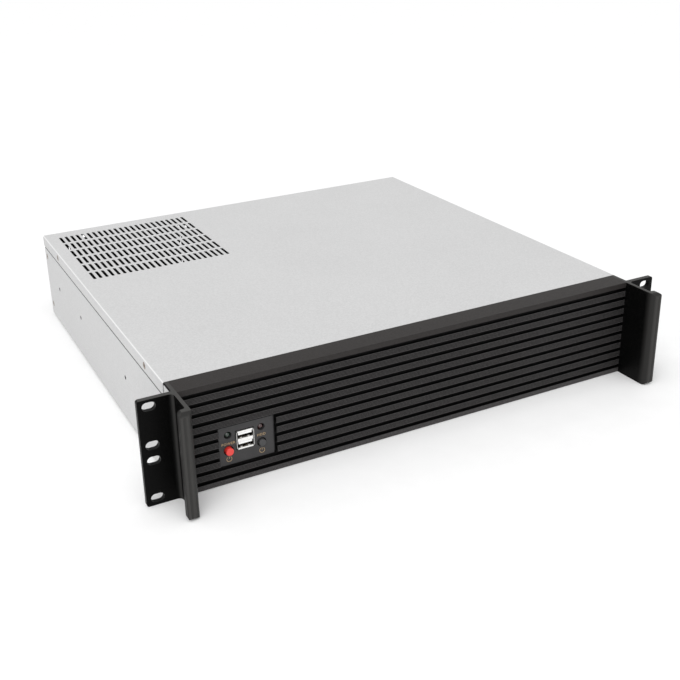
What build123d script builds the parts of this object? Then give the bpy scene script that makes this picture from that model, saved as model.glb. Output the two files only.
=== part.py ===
# Empty rackmount server case, two rack units high.
#
# Millimetres. The origin is the middle of the rack plane, where the backs of the two ears meet the
# rack's rails. +X points to the case's right end as seen from its front, +Y to the rear and +Z up.
import os

from build123d import *

# Rack standard
rack_unit = 44.45
panel_units = 2
panel_play = 0.8
panel_width = 482.6
rack_hole_inset = 8.75
rack_hole_edge = 6.35
rack_slot_height = 7.0
rack_slot_length = 10.5

# Body
ear_overhang = 26.3
body_depth = 390.0
sheet = 1.0
bend_radius = 1.5
fit_gap = 0.1

# Ears and handles
ear_thickness = 4.0
ear_corner = 2.0
ear_root_radius = 4.0
web_thickness = 3.0
handle_reach = 34.0
grip_width = 10.0
grip_depth = 8.0
grip_palm_radius = 5.5
grip_corner_radius = 2.0
grip_root_radius = 2.5
grip_flute_radius = 1.9
grip_flute_depth = 0.6
grip_flute_inset = 3.6
grip_end_radius = 4.0
grip_front_radius = 5.0
handle_screw_inset = 0.5

# Bezel
bezel_depth = 20.0
bezel_flange = 2.0
bezel_wall = 2.0
bezel_lip_depth = 4.0
bezel_lip_height = 8.0
bezel_edge_radius = 1.0
groove_count = 10
groove_pitch = 8.4
groove_height = 3.4
groove_depth = 3.0
fine_groove_count = 4
fine_groove_pitch = 1.05
fine_groove_depth = 0.35
bezel_screw_inset = 53.75

# Cover
flange_height = 11.2
seam_gap = 0.4
joggle_height = 2.5
relief_width = 2.0
lip_width = 10.0
rear_lip_height = 5.0
vent_columns = 24
vent_rows = 6
vent_pitch_x = 5.83
vent_pitch_y = 23.8
vent_width = 3.0
vent_length = 20.0
vent_side = 81.3
vent_rear = 85.3
cover_screw_drop = 5.4
cover_screw_front = 45.0
cover_screw_rear = 63.0

# Flat-head screws with a 90 degree head
screw_radius = 1.5
screw_play = 0.05
flat_head_radius = 3.0
flat_screw_length = 4.5
socket_radius = 1.1
socket_depth = 0.9
screw_end = 1.5

# Pan-head screws
pan_head_radius = 2.75
pan_head_height = 2.0
pan_head_taper = 12

# Rail holes in the sides
rail_hole_radius = 2.0
rail_hole_z = 1.0
rail_hole_steps = (107.3, 253.1, 337.9)

# Rear panel
rear_flange = 14.0
rear_foot = 6.0
rear_foot_gap = 4.0
rear_screw_inset = 7.7
rear_screw_heights = (67.5, 13.9)
supply_width = 150.0
supply_depth = 140.0
supply_side_gap = 12.0
supply_window = (126.0, 64.0)
supply_window_corner = 5.0
supply_window_centre = (75.0, 43.0)
knock_out_slot = 1.2
knock_out_bridge = 5.0
supply_holes = ((6.0, 6.0), (144.0, 6.0), (144.0, 70.0), (30.0, 80.0))
supply_hole_radius = 2.0
connector_window = (158.75, 44.45)
connector_window_drop = 3.81
connector_window_inset = 2.0
air_slot_count = 24
air_slot = (3.0, 18.0)
air_slot_pitch = 6.4
air_slot_gap = 6.0

# Mainboard
board_side_gap = 18.0
board_thickness = 1.57
standoff_height = 6.5
standoff_flats = 5.0
standoff_shank_radius = 2.05
standoff_columns = (6.35, 163.83, 209.55)
standoff_rows = (10.16, 165.1, 237.49)
standoff_near_column_row = 33.02

# Card slots
slot_count = 4
slot_pitch = 20.32
first_slot_inset = 175.0
slot_window = (14.0, 66.0)
slot_window_lift = 8.0
slot_cover_width = 18.4
slot_cover_thickness = 0.9
slot_cover_bend = 0.5
slot_cover_height = 77.0
slot_tab_length = 11.0
slot_tip_lift = 2.0
slot_tip_width = 10.0
slot_tip_gap = 1.0
ledge_depth = 11.0

# Inner front wall
front_flange = 12.0
lead_window = (54.0, 40.0)
lead_window_corner = 3.0
side_flange_lift = 4.5

# Control plate, seen from the front
io_inset = 53.05
io_cut_width = 47.5
io_side_gap = 1.5
io_cut_grooves = 4
io_grooves_above = 4
io_recess = 2.5
io_play = 0.4
io_rim = 3.5
io_rim_thickness = 1.5
io_item_shift = 1.95
io_item_offset = 13.7
io_light_rise = 9.0
io_button_drop = 4.1
io_usb_rise = 2.9
io_post_radius = 2.5
io_post_inset = 3.2
io_board_gap = 8.0
io_board_thickness = 1.6
light_radius = 2.5
light_hole_radius = 3.1
light_flange_radius = 2.9
light_flange_thickness = 1.0
light_length = 8.6
light_lead_radius = 0.3
light_lead_spacing = 2.54
light_recess = 0.4
usb_width = 14.4
usb_height = 15.6
usb_wall = 0.5
usb_port = (12.5, 5.12)
usb_port_pitch = 7.9
usb_proud = 1.2
usb_tongue = (11.1, 1.84)
usb_tongue_rise = 1.2
usb_tongue_recess = 0.6
usb_block_depth = 3.0
power_cap_radius = 3.2
reset_cap_radius = 2.9
button_play = 0.35
button_hole_play = 0.9
power_cap_proud = 3.0
reset_cap_proud = 2.2
cap_rim_radius = 0.5
button_rim = 1.7
button_rim_thickness = 1.0
button_travel = 1.0
button_stem_radius = 1.6
switch_body = (6.0, 6.0)
switch_height = 3.6
switch_floor = 0.8
header_pins = 5
header_pitch = 2.54
header_base = 2.5
header_pin = 0.64
header_pin_length = 6.0
header_drop = 8.0

# Drive cage
cage_length = 147.0
cage_inner_depth = 102.2
cage_height = 58.0
cage_front_gap = 14.0
cage_right_gap = 18.0
cage_lip = 9.0
cage_foot_inset = 10.0
drive_height = 26.1
drive_lift = 3.0
drive_hole_rise = 6.35
drive_hole_steps = (28.5, 70.1, 130.1)
drive_hole_radius = 1.8
cage_window = (112.0, 60.0)

# Supply bracket and cross bar
bracket_gap = 1.0
bracket_height = 32.0
bracket_foot = 15.0
bracket_length = 120.0
bracket_screw_inset = 12.0
bar_y = 168.0
bar_width = 18.0
bar_depth = 9.0
bar_end_gap = 1.0

# Cuts run past the far face by this much
cut_over = 1.0

# Planes and faces that the pieces share
panel_height = panel_units * rack_unit - panel_play
panel_top = panel_height / 2
underside = -panel_height / 2
floor_top = underside + sheet
cover_under = panel_top - sheet
ear_front = -ear_thickness
body_front = ear_front + bezel_depth
body_rear = body_front + body_depth
body_width = panel_width - 2 * ear_overhang
half_body = body_width / 2
half_sheet = sheet / 2
side_inner = half_body - sheet
seam_z = panel_top - flange_height
tucked_outer = half_body - sheet - fit_gap
tucked_inner = tucked_outer - sheet
web_outer = side_inner - fit_gap
web_inner = web_outer - web_thickness
bezel_half = web_inner - fit_gap
wall_half = tucked_inner - fit_gap
lip_under = cover_under - sheet - fit_gap
side_flange_low = floor_top + side_flange_lift
side_flange_height = seam_z - joggle_height - bend_radius - side_flange_low
side_flange_z = side_flange_low + side_flange_height / 2
rear_outer = body_rear - sheet - fit_gap
rear_inner = rear_outer - sheet
wall_rear = body_front + sheet
ear_outer = panel_width / 2
grip_tip = ear_front - handle_reach
grip_back = grip_tip + grip_depth
cover_screw_z = panel_top - cover_screw_drop
cover_screw_ys = (body_front + cover_screw_front, body_rear - cover_screw_rear)
rear_screw_y = rear_outer - rear_screw_inset
rear_screw_zs = [underside + rise for rise in rear_screw_heights]
rail_ys = [body_front + step for step in rail_hole_steps]
vent_centre = (-half_body + vent_side, body_rear - vent_rear)
io_centre_x = -bezel_half + io_inset
supply_left = -side_inner + supply_side_gap
board_edge_x = side_inner - board_side_gap
board_underside = floor_top + standoff_height
board_top = board_underside + board_thickness
slot_xs = [board_edge_x - first_slot_inset - slot_pitch * k for k in range(slot_count)]
ledge_top = floor_top + slot_tip_lift + slot_cover_height
ends = (1, -1)


def save(piece, name):
    """Label a finished piece and write it."""
    piece.part.label = name
    export_step(piece.part, f"parts/{name}.step")


def side_planes(ys, zs, face_x):
    """Planes on both side faces of the case, looking outward."""
    return [Plane((end * face_x, y, z), z_dir=(end, 0, 0)) for end in ends for y in ys for z in zs]


def under_planes(points, face_z=underside):
    """Planes on a face that looks down."""
    return [Plane((x, y, face_z), z_dir=(0, 0, -1)) for x, y in points]


def flat_screw_holes(planes, depth):
    """Countersunk clearance for flat-head screws, in the part being built."""
    with Locations(*planes):
        CounterSinkHole(screw_radius + screw_play, flat_head_radius + screw_play, depth, 90)


def flat_screws(planes, length):
    """One group of flat-head screws, each with its head flush with its plane."""
    with BuildPart() as group:
        for plane in planes:
            with BuildSketch(plane.offset(-length)):
                Circle(screw_radius)
            extrude(amount=length)
            head_depth = flat_head_radius - screw_radius
            with BuildSketch(plane):
                Circle(flat_head_radius)
            extrude(amount=-head_depth, taper=45)
            with BuildSketch(plane):
                RegularPolygon(socket_radius, 6)
            extrude(amount=-socket_depth, mode=Mode.SUBTRACT)
    return group


def pan_screws(planes, length, radius=screw_radius, head_radius=pan_head_radius):
    """One group of pan-head screws, each head standing on its plane."""
    with BuildPart() as group:
        for plane in planes:
            with BuildSketch(plane.offset(-length)):
                Circle(radius)
            extrude(amount=length)
            with BuildSketch(plane):
                Circle(head_radius)
            extrude(amount=pan_head_height, taper=pan_head_taper)
            with BuildSketch(plane.offset(pan_head_height)):
                RegularPolygon(socket_radius, 6)
            extrude(amount=-socket_depth, mode=Mode.SUBTRACT)
    return group


os.makedirs("parts", exist_ok=True)

# Places of the fasteners
cover_screw_planes = side_planes(cover_screw_ys, [cover_screw_z], half_body)
rear_screw_planes = side_planes([rear_screw_y], rear_screw_zs, half_body)
handle_screw_y = body_front / 2
handle_screw_zs = (-rack_unit / 2, rack_unit / 2)
handle_screw_planes = side_planes([handle_screw_y], handle_screw_zs, half_body)

cage_right = side_inner - cage_right_gap
cage_centre_x = cage_right - cage_length / 2
cage_front = wall_rear + cage_front_gap
cage_centre_y = cage_front + sheet + cage_inner_depth / 2
cage_foot_dx = cage_length / 2 - cage_foot_inset
cage_foot_dy = cage_inner_depth / 2 - cage_foot_inset
cage_foot_points = [
    (cage_centre_x + sx * cage_foot_dx, cage_centre_y + sy * cage_foot_dy)
    for sx in ends
    for sy in ends
]
bracket_y = rear_inner - supply_depth - bracket_gap
bracket_centre_x = supply_left + supply_width / 2
bracket_foot_dx = bracket_length / 2 - bracket_screw_inset
bracket_points = [(bracket_centre_x + sx * bracket_foot_dx, bracket_y - bracket_foot / 2) for sx in ends]
floor_screw_planes = under_planes(cage_foot_points + bracket_points)
floor_screw_length = 2 * sheet + screw_end

bar_screw_xs = [end * (tucked_inner - lip_width / 2) for end in ends]
bar_screw_planes = [Plane((x, bar_y, cover_under), z_dir=(0, 0, 1)) for x in bar_screw_xs]

standoff_points = [
    (board_edge_x - column, rear_inner - (standoff_near_column_row if (i, j) == (0, 0) else row))
    for i, column in enumerate(standoff_columns)
    for j, row in enumerate(standoff_rows)
]

# Base tray: floor and sides folded from one sheet, with the top of each side set in under the cover
with BuildPart() as base_tray:
    with BuildSketch(Plane.XZ.offset(-body_front)):
        with BuildLine():
            right_side = [
                (half_body - half_sheet, underside + half_sheet),
                (half_body - half_sheet, seam_z - joggle_height),
                (tucked_outer - half_sheet, seam_z),
                (tucked_outer - half_sheet, cover_under - half_sheet),
                (tucked_inner - lip_width, cover_under - half_sheet),
            ]
            left_side = [(-x, z) for x, z in reversed(right_side)]
            FilletPolyline(*left_side, *right_side, radius=bend_radius - half_sheet)
        trace(line_width=sheet)
    extrude(amount=-(rear_outer - body_front))
    for end in ends:
        with BuildSketch(Plane.YZ.offset(end * half_body)):
            with Locations((body_front / 2 + fit_gap / 2, 0)):
                Rectangle(body_front - fit_gap, panel_height - 2 * bend_radius)
            with Locations((body_front, seam_z - joggle_height)):
                Rectangle(relief_width, panel_height, align=(Align.MAX, Align.MIN), mode=Mode.SUBTRACT)
        extrude(amount=-end * sheet)
    flat_screw_holes(cover_screw_planes, flat_screw_length)
    flat_screw_holes(rear_screw_planes, flat_screw_length)
    flat_screw_holes(floor_screw_planes, floor_screw_length)
    flat_screw_holes(bar_screw_planes, flat_screw_length)
    with Locations(*side_planes(rail_ys, [rail_hole_z], half_body)):
        Hole(rail_hole_radius, depth=3 * sheet)
    with Locations(*handle_screw_planes):
        Hole(screw_radius + screw_play, depth=2 * sheet)
    with Locations(*under_planes(standoff_points)):
        Hole(standoff_shank_radius + screw_play, depth=2 * sheet)
save(base_tray, "base_tray")

# Top cover: lid with side flanges flush with the sides below them, a rear lip and a field of vents
with BuildPart() as top_cover:
    with BuildSketch(Plane.XZ.offset(-(body_front + fit_gap))):
        with BuildLine():
            FilletPolyline(
                (-half_body + half_sheet, seam_z + seam_gap),
                (-half_body + half_sheet, panel_top - half_sheet),
                (half_body - half_sheet, panel_top - half_sheet),
                (half_body - half_sheet, seam_z + seam_gap),
                radius=bend_radius - half_sheet,
            )
        trace(line_width=sheet)
    extrude(amount=-(body_depth - fit_gap))
    with BuildSketch(Plane.XY.offset(panel_top - sheet)):
        with Locations((0, body_rear - half_sheet)):
            Rectangle(body_width - 2 * bend_radius, sheet)
    extrude(amount=-(rear_lip_height - sheet))
    with BuildSketch(Plane.XY.offset(panel_top)):
        with Locations(vent_centre):
            with GridLocations(vent_pitch_x, vent_pitch_y, vent_columns, vent_rows):
                SlotOverall(vent_length, vent_width, rotation=90)
    extrude(amount=-2 * sheet, mode=Mode.SUBTRACT)
    flat_screw_holes(cover_screw_planes, flat_screw_length)
save(top_cover, "top_cover")
save(flat_screws(cover_screw_planes, flat_screw_length), "cover_screws")

# Inner front wall: folded pan with a window for the control board's leads
bezel_screw_z = panel_top - bezel_flange - bezel_lip_height / 2
bezel_screw_x = half_body - bezel_screw_inset
bezel_screw_points = [(sx * bezel_screw_x, sz * bezel_screw_z) for sx in ends for sz in ends]
bezel_screw_planes = [Plane((x, wall_rear, z), z_dir=(0, 1, 0)) for x, z in bezel_screw_points]
bezel_screw_length = sheet + bezel_lip_depth
io_centre_z = groove_pitch * ((groove_count - 1) / 2 - io_grooves_above - io_cut_grooves / 2)
io_cut_height = io_cut_grooves * groove_pitch
with BuildPart() as front_wall:
    with BuildSketch(Plane.YZ):
        with BuildLine():
            FilletPolyline(
                (wall_rear + front_flange, floor_top + half_sheet),
                (wall_rear - half_sheet, floor_top + half_sheet),
                (wall_rear - half_sheet, cover_under - half_sheet),
                (wall_rear + front_flange, cover_under - half_sheet),
                radius=bend_radius - half_sheet,
            )
        trace(line_width=sheet)
    extrude(amount=wall_half - lip_width, both=True)
    with BuildSketch(Plane.XZ.offset(-body_front)):
        for end in ends:
            with Locations((end * (wall_half - lip_width / 2), (floor_top + lip_under) / 2)):
                Rectangle(lip_width, lip_under - floor_top)
            with Locations((end * (side_inner - sheet), side_flange_z)):
                Rectangle(2 * sheet, side_flange_height)
    extrude(amount=-sheet)
    for end in ends:
        with BuildSketch(Plane.YZ.offset(end * side_inner)):
            with Locations((wall_rear + front_flange / 2, side_flange_z)):
                Rectangle(front_flange, side_flange_height)
        extrude(amount=-end * sheet)
    with BuildSketch(Plane.XZ.offset(-body_front)):
        with Locations((io_centre_x, io_centre_z)):
            RectangleRounded(*lead_window, lead_window_corner)
    extrude(amount=-2 * sheet, mode=Mode.SUBTRACT)
    with Locations(*bezel_screw_planes):
        Hole(screw_radius + screw_play, depth=2 * sheet)
save(front_wall, "front_wall")
save(pan_screws(bezel_screw_planes, bezel_screw_length), "bezel_screws")

# Ribbed bezel: one extrusion, a lipped channel with a grooved front
with BuildPart() as bezel:
    with BuildSketch(Plane.YZ):
        with Locations((ear_front + bezel_depth / 2, 0)):
            Rectangle(bezel_depth, panel_height)
        front_corners = [v for v in vertices() if v.Y < 0]
        fillet(front_corners, bezel_edge_radius)
        web_back = ear_front + groove_depth + bezel_wall
        hollow_depth = body_front - web_back
        with Locations((web_back + hollow_depth / 2, 0)):
            mouth_height = panel_height - 2 * (bezel_flange + bezel_lip_height)
            Rectangle(hollow_depth, mouth_height, mode=Mode.SUBTRACT)
        with Locations((web_back + (hollow_depth - bezel_lip_depth) / 2, 0)):
            Rectangle(hollow_depth - bezel_lip_depth, panel_height - 2 * bezel_flange, mode=Mode.SUBTRACT)
        with Locations((ear_front, 0)):
            with GridLocations(1, groove_pitch, 1, groove_count):
                Rectangle(2 * groove_depth, groove_height, mode=Mode.SUBTRACT)
            with GridLocations(1, groove_pitch, 1, groove_count - 1):
                with GridLocations(1, fine_groove_pitch, 1, fine_groove_count):
                    RegularPolygon(fine_groove_depth, 4, rotation=0, mode=Mode.SUBTRACT)
    extrude(amount=bezel_half, both=True)
    with BuildSketch(Plane.XZ.offset(-(ear_front - cut_over))):
        with Locations((io_centre_x, io_centre_z)):
            Rectangle(io_cut_width, io_cut_height)
    extrude(amount=-(groove_depth + bezel_wall + 2 * cut_over), mode=Mode.SUBTRACT)
    with Locations(*bezel_screw_planes):
        Hole(screw_radius + screw_play, depth=bezel_screw_length + cut_over)
save(bezel, "bezel")

# Rack ear and pull handle: one extrusion each, a plate, an ear and a thick grip with a shallow flute
with BuildPart() as right_handle:
    with BuildSketch(Plane.XY.offset(underside)):
        with Locations((web_inner, grip_tip)):
            Rectangle(grip_width, grip_depth, align=(Align.MIN, Align.MIN))
            Rectangle(web_thickness, body_front - grip_tip, align=(Align.MIN, Align.MIN))
        fillet(vertices().group_by(Axis.Y)[0].sort_by(Axis.X)[0], grip_palm_radius)
        fillet(vertices().group_by(Axis.X)[-1], grip_corner_radius)
        fillet(vertices().sort_by_distance((web_outer, grip_back))[0], grip_root_radius)
        flute_x = web_inner + grip_width - grip_flute_inset
        with Locations((flute_x, grip_tip + grip_flute_depth - grip_flute_radius)):
            Circle(grip_flute_radius, mode=Mode.SUBTRACT)
    extrude(amount=panel_height)
    with BuildSketch(Plane.XZ):
        with Locations((web_inner, 0)):
            RectangleRounded(2 * grip_width, panel_height, grip_end_radius)
    extrude(amount=handle_reach + bezel_depth, both=True, mode=Mode.INTERSECT)
    with BuildSketch(Plane.XY.offset(underside)):
        with Locations((web_inner, ear_front)):
            Rectangle(ear_outer - web_inner, ear_thickness, align=(Align.MIN, Align.MIN))
        with BuildLine():
            root = (web_outer, ear_front)
            Line(root, (web_outer + ear_root_radius, ear_front))
            root_end = (web_outer, ear_front - ear_root_radius)
            RadiusArc((web_outer + ear_root_radius, ear_front), root_end, -ear_root_radius)
            Line(root_end, root)
        make_face()
    extrude(amount=panel_height)
    with BuildSketch(Plane.YZ.offset(web_inner)):
        with Locations((body_front, 0)):
            RectangleRounded(2 * (body_front - grip_tip), panel_height, grip_front_radius)
    extrude(amount=ear_outer - web_inner, mode=Mode.INTERSECT)
    ear_corners = edges().filter_by(Axis.Y).group_by(Axis.X)[-1]
    fillet(ear_corners, ear_corner)
    slot_zs = (rack_hole_edge, rack_unit - rack_hole_edge)
    with BuildSketch(Plane.XZ):
        with Locations(*[(ear_outer - rack_hole_inset, end * z) for end in ends for z in slot_zs]):
            SlotOverall(rack_slot_length, rack_slot_height)
    extrude(amount=ear_thickness + cut_over, both=True, mode=Mode.SUBTRACT)
    with Locations(*[plane for plane in handle_screw_planes if plane.origin.X > 0]):
        Hole(screw_radius + screw_play, depth=web_thickness + 2 * sheet)
with BuildPart() as left_handle:
    mirror(right_handle.part, about=Plane.YZ)
save(right_handle, "right_handle")
save(left_handle, "left_handle")
handle_screw_length = half_body - web_inner - handle_screw_inset
save(pan_screws(handle_screw_planes, handle_screw_length), "handle_screws")

# Rear panel: folded pan with windows for the board's connectors and the cards, and a supply knock-out
def rear_plane(depth=0.0):
    """The rear panel's outer face, moved outward by a depth. Its own X runs with the case's X."""
    return Plane((0, rear_outer + depth, 0), x_dir=(1, 0, 0), z_dir=(0, -1, 0))


supply_corner = (supply_left, floor_top)
window_centre = (supply_corner[0] + supply_window_centre[0], supply_corner[1] + supply_window_centre[1])
connector_low = board_top - connector_window_drop
connector_centre = (
    board_edge_x - connector_window_inset - connector_window[0] / 2,
    connector_low + connector_window[1] / 2,
)
air_slot_z = connector_low + connector_window[1] + air_slot_gap + air_slot[1] / 2
slot_window_z = floor_top + slot_window_lift + slot_window[1] / 2
tab_top = ledge_top + slot_cover_thickness
foot_left = supply_left + supply_width + rear_foot_gap
foot_right = wall_half - bend_radius
with BuildPart() as rear_panel:
    with BuildSketch(rear_plane()):
        with Locations((0, floor_top)):
            Rectangle(2 * wall_half, lip_under - floor_top, align=(Align.CENTER, Align.MIN))
            strip_width = 2 * (wall_half - lip_width)
            Rectangle(strip_width, cover_under - fit_gap - floor_top, align=(Align.CENTER, Align.MIN))
        with Locations((foot_left, floor_top)):
            Rectangle(foot_right - foot_left, bend_radius, align=(Align.MIN, Align.MIN), mode=Mode.SUBTRACT)
        for end in ends:
            with Locations((end * (side_inner - sheet), side_flange_z)):
                Rectangle(2 * sheet, side_flange_height)
    extrude(amount=sheet)
    with BuildSketch(Plane.YZ.offset(foot_left)):
        with BuildLine():
            FilletPolyline(
                (rear_outer - rear_foot, floor_top + half_sheet),
                (rear_outer - half_sheet, floor_top + half_sheet),
                (rear_outer - half_sheet, floor_top + rear_foot),
                radius=bend_radius - half_sheet,
            )
        trace(line_width=sheet)
    extrude(amount=foot_right - foot_left)
    for end in ends:
        with BuildSketch(Plane.YZ.offset(end * side_inner)):
            with Locations((rear_outer - rear_flange / 2, side_flange_z)):
                Rectangle(rear_flange, side_flange_height)
        extrude(amount=-end * sheet)
    with BuildSketch(rear_plane(ledge_depth)):
        ledge_centre_x = (slot_xs[0] + slot_xs[-1]) / 2
        with Locations((ledge_centre_x, ledge_top - half_sheet)):
            Rectangle(slot_count * slot_pitch, sheet)
    extrude(amount=ledge_depth)
    with BuildSketch(rear_plane(cut_over)):
        with Locations(window_centre):
            RectangleRounded(*supply_window, supply_window_corner)
            knock_out = [side - 2 * knock_out_slot for side in supply_window]
            RectangleRounded(*knock_out, supply_window_corner - knock_out_slot, mode=Mode.SUBTRACT)
            Rectangle(supply_window[0], knock_out_bridge, mode=Mode.SUBTRACT)
            Rectangle(knock_out_bridge, supply_window[1], mode=Mode.SUBTRACT)
        with Locations(connector_centre):
            Rectangle(*connector_window)
        with Locations((connector_centre[0], air_slot_z)):
            with GridLocations(air_slot_pitch, 1, air_slot_count, 1):
                Rectangle(*air_slot)
        with Locations(*[(x, slot_window_z) for x in slot_xs]):
            Rectangle(*slot_window)
        tab_notch = (slot_cover_width + 6 * fit_gap, slot_cover_thickness + 4 * fit_gap)
        with Locations(*[(x, ledge_top + tab_notch[1] / 2) for x in slot_xs]):
            Rectangle(*tab_notch)
    extrude(amount=sheet + 2 * cut_over, mode=Mode.SUBTRACT)
    with BuildSketch(rear_plane(cut_over)):
        with Locations(*[(supply_corner[0] + x, supply_corner[1] + z) for x, z in supply_holes]):
            Circle(supply_hole_radius)
    extrude(amount=sheet + 2 * cut_over, mode=Mode.SUBTRACT)
    flat_screw_holes(rear_screw_planes, flat_screw_length)
    slot_screw_y = rear_outer + ledge_depth / 2
    slot_screw_xs = [x - slot_cover_width / 4 for x in slot_xs]
    slot_screw_planes = [Plane((x, slot_screw_y, tab_top), z_dir=(0, 0, 1)) for x in slot_screw_xs]
    slot_screw_length = slot_cover_thickness + sheet
    with Locations(*slot_screw_planes):
        Hole(screw_radius + screw_play, depth=slot_screw_length + cut_over)
save(rear_panel, "rear_panel")
save(flat_screws(rear_screw_planes, flat_screw_length), "rear_panel_screws")
save(pan_screws(slot_screw_planes, slot_screw_length), "slot_screws")

# Card slot blanks: a bent strip each, with a tab on the ledge and a narrow tip at the floor
for number, slot_x in enumerate(slot_xs, start=1):
    with BuildPart() as slot_cover:
        strip_y = rear_inner - slot_cover_thickness / 2
        with BuildSketch(Plane.YZ.offset(slot_x - slot_cover_width / 2)):
            with BuildLine():
                FilletPolyline(
                    (strip_y, floor_top + slot_tip_lift),
                    (strip_y, ledge_top + slot_cover_thickness / 2),
                    (rear_outer + slot_tab_length - fit_gap, ledge_top + slot_cover_thickness / 2),
                    radius=slot_cover_bend,
                )
            trace(line_width=slot_cover_thickness)
        extrude(amount=slot_cover_width)
        tip_height = slot_window_lift - slot_tip_lift - slot_tip_gap
        side_cut = (slot_cover_width - slot_tip_width) / 2
        with BuildSketch(Plane.XZ.offset(-rear_outer)):
            with Locations((slot_x, floor_top + slot_tip_lift)):
                with GridLocations(slot_cover_width, 1, 2, 1):
                    Rectangle(2 * side_cut, 2 * tip_height)
        extrude(amount=4 * sheet, mode=Mode.SUBTRACT)
        with Locations(slot_screw_planes[number - 1]):
            Hole(screw_radius + screw_play, depth=slot_screw_length)
    save(slot_cover, f"slot_cover_{number}")

# Stand-offs for the mainboard, each with a shank pressed into the floor
with BuildPart() as board_standoffs:
    for x, y in standoff_points:
        with BuildSketch(Plane((x, y, floor_top))):
            RegularPolygon(standoff_flats / 2, 6, major_radius=False)
        extrude(amount=standoff_height)
        with BuildSketch(Plane((x, y, underside))):
            Circle(standoff_shank_radius)
        extrude(amount=sheet)
        with BuildSketch(Plane((x, y, board_underside))):
            Circle(screw_radius - 2 * screw_play)
        extrude(amount=-standoff_height / 2, mode=Mode.SUBTRACT)
save(board_standoffs, "board_standoffs")

# Stop in front of the power supply
with BuildPart() as psu_bracket:
    with BuildSketch(Plane.YZ.offset(bracket_centre_x)):
        with BuildLine():
            FilletPolyline(
                (bracket_y - bracket_foot, floor_top + half_sheet),
                (bracket_y - half_sheet, floor_top + half_sheet),
                (bracket_y - half_sheet, floor_top + bracket_height),
                (bracket_y - bracket_foot / 2, floor_top + bracket_height),
                radius=bend_radius - half_sheet,
            )
        trace(line_width=sheet)
    extrude(amount=bracket_length / 2, both=True)
    flat_screw_holes(floor_screw_planes, floor_screw_length)
save(psu_bracket, "psu_bracket")

# Drive cage: an open channel across the case for two drives, one above the other
cage_floor = floor_top + half_sheet
cage_wall_ys = [cage_front + half_sheet, cage_front + sheet + cage_inner_depth + half_sheet]
with BuildPart() as drive_cage:
    with BuildSketch(Plane.YZ.offset(cage_centre_x)):
        with BuildLine():
            FilletPolyline(
                (cage_wall_ys[0] - cage_lip, floor_top + cage_height),
                (cage_wall_ys[0], floor_top + cage_height),
                (cage_wall_ys[0], cage_floor),
                (cage_wall_ys[1], cage_floor),
                (cage_wall_ys[1], floor_top + cage_height),
                (cage_wall_ys[1] + cage_lip, floor_top + cage_height),
                radius=bend_radius - half_sheet,
            )
        trace(line_width=sheet)
    extrude(amount=cage_length / 2, both=True)
    drive_hole_zs = [floor_top + sheet + drive_lift + drive_hole_rise + drive_height * k for k in (0, 1)]
    with BuildSketch(Plane.XZ.offset(-(cage_wall_ys[1] + sheet))):
        for step in drive_hole_steps:
            with Locations(*[(cage_right - step, z) for z in drive_hole_zs]):
                Circle(drive_hole_radius)
    extrude(amount=cage_inner_depth + 4 * sheet, mode=Mode.SUBTRACT)
    with BuildSketch(Plane.XY.offset(floor_top)):
        with Locations((cage_centre_x, cage_centre_y)):
            RectangleRounded(*cage_window, supply_window_corner)
    extrude(amount=2 * sheet, mode=Mode.SUBTRACT)
    flat_screw_holes(floor_screw_planes, floor_screw_length)
save(drive_cage, "drive_cage")
save(flat_screws(floor_screw_planes, floor_screw_length), "floor_screws")

# Cross bar: hat section under the middle of the cover, hung from the lips of the sides
with BuildPart() as cross_bar:
    bar_top = cover_under - sheet - half_sheet
    with BuildSketch(Plane.YZ):
        with BuildLine():
            FilletPolyline(
                (bar_y - bar_width / 2, bar_top - bar_depth),
                (bar_y - bar_width / 2, bar_top),
                (bar_y + bar_width / 2, bar_top),
                (bar_y + bar_width / 2, bar_top - bar_depth),
                radius=bend_radius - half_sheet,
            )
        trace(line_width=sheet)
    extrude(amount=tucked_inner - bar_end_gap, both=True)
    flat_screw_holes(bar_screw_planes, floor_screw_length)
save(cross_bar, "cross_bar")
save(flat_screws(bar_screw_planes, floor_screw_length), "bar_screws")

# Control plate: a moulded plate that fills the bezel's cut-out from behind, with four posts
io_face = ear_front + io_recess
io_rim_back = web_back + io_rim_thickness
io_board_front = io_rim_back + io_board_gap
io_board_back = io_board_front + io_board_thickness
io_plate_size = (io_cut_width - io_side_gap - 2 * io_play, io_cut_height - 2 * io_play)
io_rim_size = (io_cut_width + 2 * io_rim, io_cut_height + io_rim)
light_z = io_centre_z + io_light_rise
button_z = io_centre_z - io_button_drop
usb_z = io_centre_z + io_usb_rise
item_centre_x = io_centre_x - io_item_shift
left_item_x = item_centre_x - io_item_offset
right_item_x = item_centre_x + io_item_offset
post_dx = io_rim_size[0] / 2 - io_post_inset
post_dz = io_rim_size[1] / 2 - io_post_inset
post_points = [
    (io_centre_x + sx * post_dx, io_centre_z + sz * post_dz)
    for sx in ends
    for sz in ends
]


def front_plane(y):
    """A plane that faces the front of the case. Its own X runs with the case's X."""
    return Plane((0, y, 0), x_dir=(1, 0, 0), z_dir=(0, -1, 0))


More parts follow.
